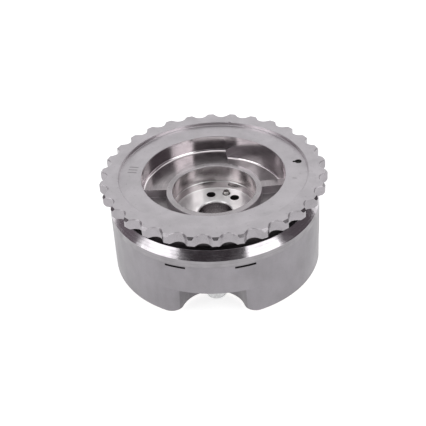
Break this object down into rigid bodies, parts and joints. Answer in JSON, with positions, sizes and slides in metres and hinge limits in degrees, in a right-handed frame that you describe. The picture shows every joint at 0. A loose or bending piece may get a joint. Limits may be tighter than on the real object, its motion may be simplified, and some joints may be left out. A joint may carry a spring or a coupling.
{
  "type": "camshaft timing gear with vane phaser",
  "caption": "Toothed steel chain wheel with a conical flange on a scalloped cast aluminium housing that holds a vane rotor; the camshaft's nose enters the ring at the top.",
  "frame": {"origin": "on the camshaft axis, in the plane of the collar's face under the housing", "axes": "+Z along the camshaft axis from the collar towards the sprocket's teeth, -Y towards the pocket that faces the camera"},
  "size_m": [0.0768, 0.0766, 0.0361],
  "materials": {
    "sintered_steel": "matte sintered and machined steel",
    "cast_aluminium": "satin die-cast skin",
    "rotor_steel": "machined",
    "zinc_plated_steel": "light zinc plating",
    "hardened_steel": "ground",
    "spring_steel": "plain drawn",
    "seal_plastic": "moulded"
  },
  "bodies": {
    "gear": {"sprocket": "sintered_steel", "housing": "cast_aluminium", "cover_bolt_1": "zinc_plated_steel", "cover_bolt_2": "zinc_plated_steel", "cover_bolt_3": "zinc_plated_steel", "lock_bushing": "hardened_steel", "shoe_seal_1": "seal_plastic", "shoe_seal_2": "seal_plastic", "shoe_seal_3": "seal_plastic", "shoe_seal_spring_1": "spring_steel", "shoe_seal_spring_2": "spring_steel", "shoe_seal_spring_3": "spring_steel"},
    "vane_rotor": {"rotor": "rotor_steel", "knock_pin": "hardened_steel", "lock_pin_seat": "hardened_steel", "lock_pin_spring": "spring_steel", "vane_seal_1": "seal_plastic", "vane_seal_2": "seal_plastic", "vane_seal_3": "seal_plastic", "vane_seal_spring_1": "spring_steel", "vane_seal_spring_2": "spring_steel", "vane_seal_spring_3": "spring_steel"},
    "latch": {"lock_pin": "hardened_steel"}
  },
  "joints": [
    {"name": "rotor_swing", "type": "hinge", "parent": "gear", "child": "vane_rotor", "pos_m": [0, 0, 0], "axis": [0, 0, 1], "range_deg": [-12, 12]},
    {"name": "lock_pin_slide", "type": "slide", "parent": "vane_rotor", "child": "latch", "axis": [0, 0, -1], "range_m": [0, 0.0033], "stiffness_N_per_m": 600, "springref_m": -0.004, "deforming": ["lock_pin_spring"]}
  ]
}
